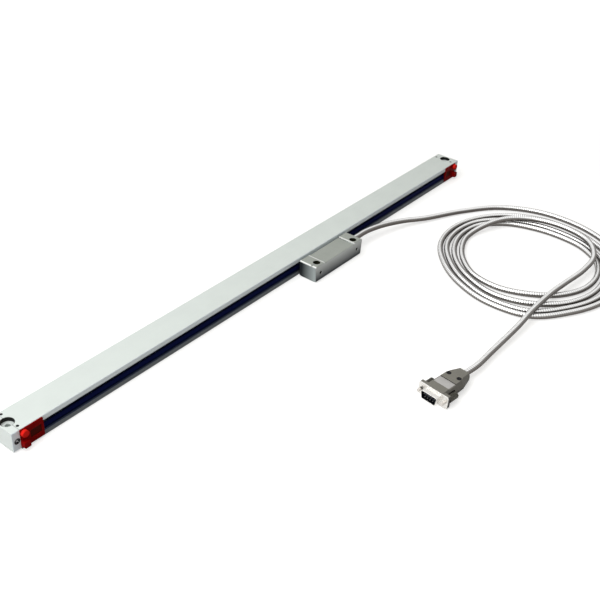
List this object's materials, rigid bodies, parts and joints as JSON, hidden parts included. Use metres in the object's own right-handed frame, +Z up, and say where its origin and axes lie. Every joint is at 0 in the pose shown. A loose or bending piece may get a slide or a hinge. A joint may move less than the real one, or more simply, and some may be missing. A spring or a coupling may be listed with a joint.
{
  "type": "sealed linear glass scale",
  "caption": "Sealed linear glass scale with a reader head that slides along its lips, an armoured signal cable laid in loose turns and a nine-pin plug.",
  "frame": {"origin": "centre of the housing's bottom mounting face, midway between its ends and midway through its depth", "axes": "+X along the scale towards the end that the cable leaves the head, +Y from the sealing lips to the back, +Z up from the mounting face"},
  "size_m": [0.66, 0.2879, 0.02],
  "materials": {
    "anodised_extrusion": "satin natural anodised, drawn lines along the length",
    "scale_glass": "clear, ground edges",
    "lip_rubber": "smooth, dark blue-black",
    "black_rubber": "matt",
    "cap_casting": "satin, fine blasted",
    "black_steel": "black oxide",
    "plain_steel": "zinc plated",
    "red_plastic": "moulded, half gloss",
    "head_casting": "grey, fine cast grain, satin",
    "cover_sheet": "satin",
    "spring_steel": "ground",
    "carriage_plastic": "moulded, fibre filled",
    "lamp_resin": "clear red resin",
    "lens_glass": "polished",
    "board_resin": "green solder mask",
    "bearing_steel": "ground and polished",
    "nickel": "bright nickel plate",
    "armour_steel": "bright stainless armour, fine turns",
    "hood_plastic": "grey, fine moulded grain",
    "insert_plastic": "smooth",
    "gilt_brass": "thin gold flash"
  },
  "bodies": {
    "housing": {"housing": "anodised_extrusion", "glass_scale": "scale_glass", "glass_strip": "black_rubber", "upper_lip": "lip_rubber", "lower_lip": "lip_rubber", "end_cap_left": "cap_casting", "end_cap_right": "cap_casting", "end_gasket_left": "black_rubber", "end_gasket_right": "black_rubber", "end_screws": "black_steel", "roof_screws": "plain_steel", "lip_clip_left": "red_plastic", "lip_clip_right": "red_plastic"},
    "reader_head": {"head_body": "head_casting", "head_cover": "cover_sheet", "cover_screws": "plain_steel", "blade": "spring_steel", "blade_screws": "plain_steel", "coupling_spring": "spring_steel", "carriage": "carriage_plastic", "lamp": "lamp_resin", "condenser_lens": "lens_glass", "index_grating": "scale_glass", "sensor_board": "board_resin", "head_board": "board_resin", "board_screws": "plain_steel", "face_axles": "spring_steel", "edge_axles": "spring_steel", "cable_gland": "nickel", "signal_cable": "armour_steel", "hood_top": "hood_plastic", "hood_bottom": "hood_plastic", "connector_shell": "nickel", "connector_insert": "insert_plastic", "connector_pins": "gilt_brass", "cable_clamp": "nickel", "hood_screws": "black_steel"},
    "face_roller_left": {"face_roller_left": "bearing_steel"},
    "face_roller_right": {"face_roller_right": "bearing_steel"},
    "edge_roller_left": {"edge_roller_left": "bearing_steel"},
    "edge_roller_right": {"edge_roller_right": "bearing_steel"},
    "jackscrew_front": {"jackscrew_front": "black_steel"},
    "jackscrew_back": {"jackscrew_back": "black_steel"}
  },
  "joints": [
    {"name": "head_slide", "type": "slide", "parent": "housing", "child": "reader_head", "axis": [1, 0, 0], "range_m": [-0.315, 0.201]},
    {"name": "face_roller_left_spin", "type": "hinge", "parent": "reader_head", "child": "face_roller_left", "pos_m": [0.04, 0.0031, 0.0143], "axis": [0, 1, 0], "continuous": true},
    {"name": "face_roller_right_spin", "type": "hinge", "parent": "reader_head", "child": "face_roller_right", "pos_m": [0.074, 0.0031, 0.0143], "axis": [0, 1, 0], "continuous": true},
    {"name": "edge_roller_left_spin", "type": "hinge", "parent": "reader_head", "child": "edge_roller_left", "pos_m": [0.045, -0.0028, 0.0109], "axis": [0, 0, 1], "continuous": true},
    {"name": "edge_roller_right_spin", "type": "hinge", "parent": "reader_head", "child": "edge_roller_right", "pos_m": [0.069, -0.0028, 0.0109], "axis": [0, 0, 1], "continuous": true},
    {"name": "jackscrew_front_turn", "type": "hinge", "parent": "reader_head", "child": "jackscrew_front", "pos_m": [-0.06152, -0.23441, 0.00655], "axis": [0.9925, -0.1219, 0], "continuous": true},
    {"name": "jackscrew_back_turn", "type": "hinge", "parent": "reader_head", "child": "jackscrew_back", "pos_m": [-0.05848, -0.20959, 0.00655], "axis": [0.9925, -0.1219, 0], "continuous": true}
  ],
  "couplings": [
    {"joint": "face_roller_left_spin", "follows": "head_slide", "rad_per_m": 400},
    {"joint": "face_roller_right_spin", "follows": "head_slide", "rad_per_m": 400},
    {"joint": "edge_roller_left_spin", "follows": "head_slide", "rad_per_m": 400},
    {"joint": "edge_roller_right_spin", "follows": "head_slide", "rad_per_m": 400}
  ]
}
